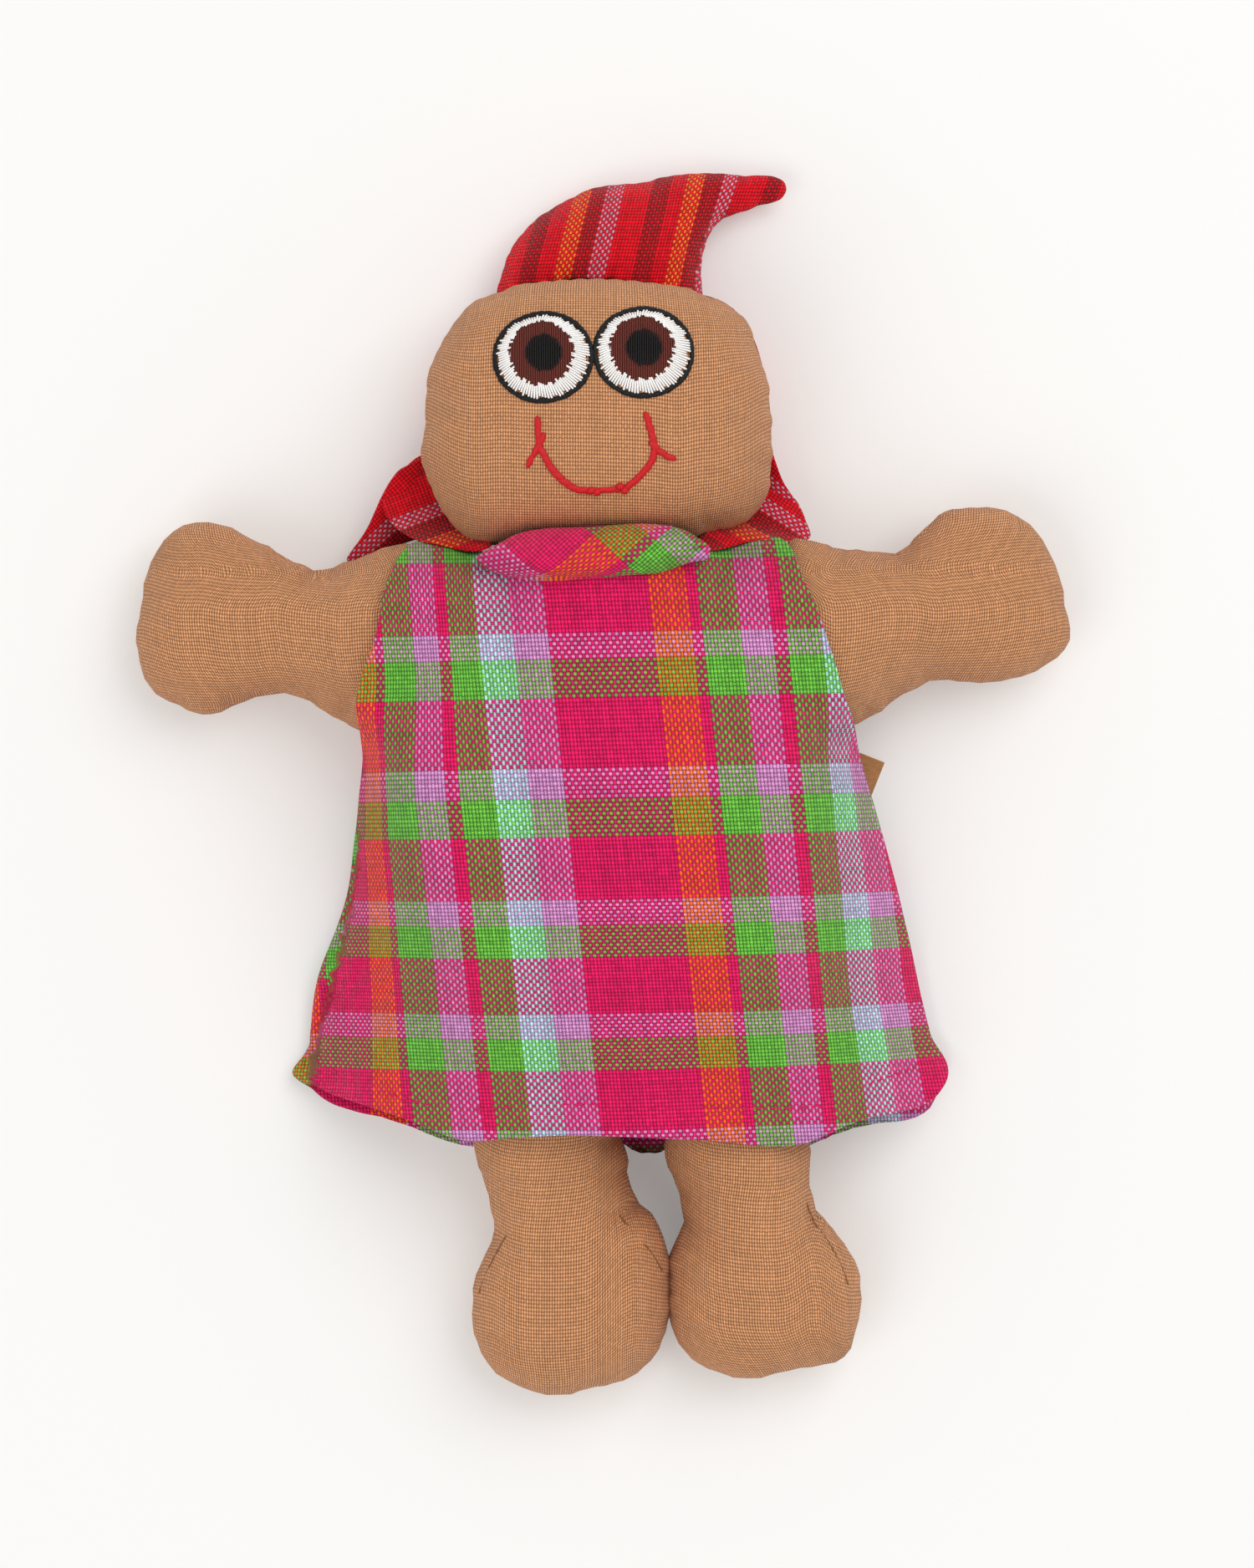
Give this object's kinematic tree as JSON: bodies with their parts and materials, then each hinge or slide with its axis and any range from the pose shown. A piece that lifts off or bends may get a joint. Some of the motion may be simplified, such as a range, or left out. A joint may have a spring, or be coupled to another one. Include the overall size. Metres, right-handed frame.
{
  "type": "cloth doll",
  "caption": "Stuffed cloth doll lying on its back, with an embroidered face, a peaked hood, a folded neck scarf and a sleeveless A-line dress.",
  "frame": {"origin": "on the surface that the doll lies on, under the middle of the doll's outline", "axes": "+Z out of the doll's face, away from that surface; +Y from the feet to the peak of the hood; +X to the doll's left hand"},
  "size_m": [0.1919, 0.2496, 0.0496],
  "materials": {
    "tan_canvas": "matte",
    "hood_cotton": "matte",
    "dress_cotton": "matte",
    "black_floss": "satin",
    "white_floss": "satin",
    "brown_floss": "satin",
    "scarlet_floss": "satin",
    "kraft_card": "matte"
  },
  "bodies": {
    "root": {"body": "tan_canvas", "head": "tan_canvas", "hood_cap": "hood_cotton", "hood_back": "hood_cotton", "scarf": "dress_cotton", "dress_front": "dress_cotton", "dress_back": "dress_cotton", "left_eye_outline": "black_floss", "left_eye_white": "white_floss", "left_iris": "brown_floss", "left_pupil": "black_floss", "right_eye_outline": "black_floss", "right_eye_white": "white_floss", "right_iris": "brown_floss", "right_pupil": "black_floss", "smile": "scarlet_floss", "left_cheek_stitch": "scarlet_floss", "right_cheek_stitch": "scarlet_floss", "swing_tag": "kraft_card"}
  },
  "joints": []
}
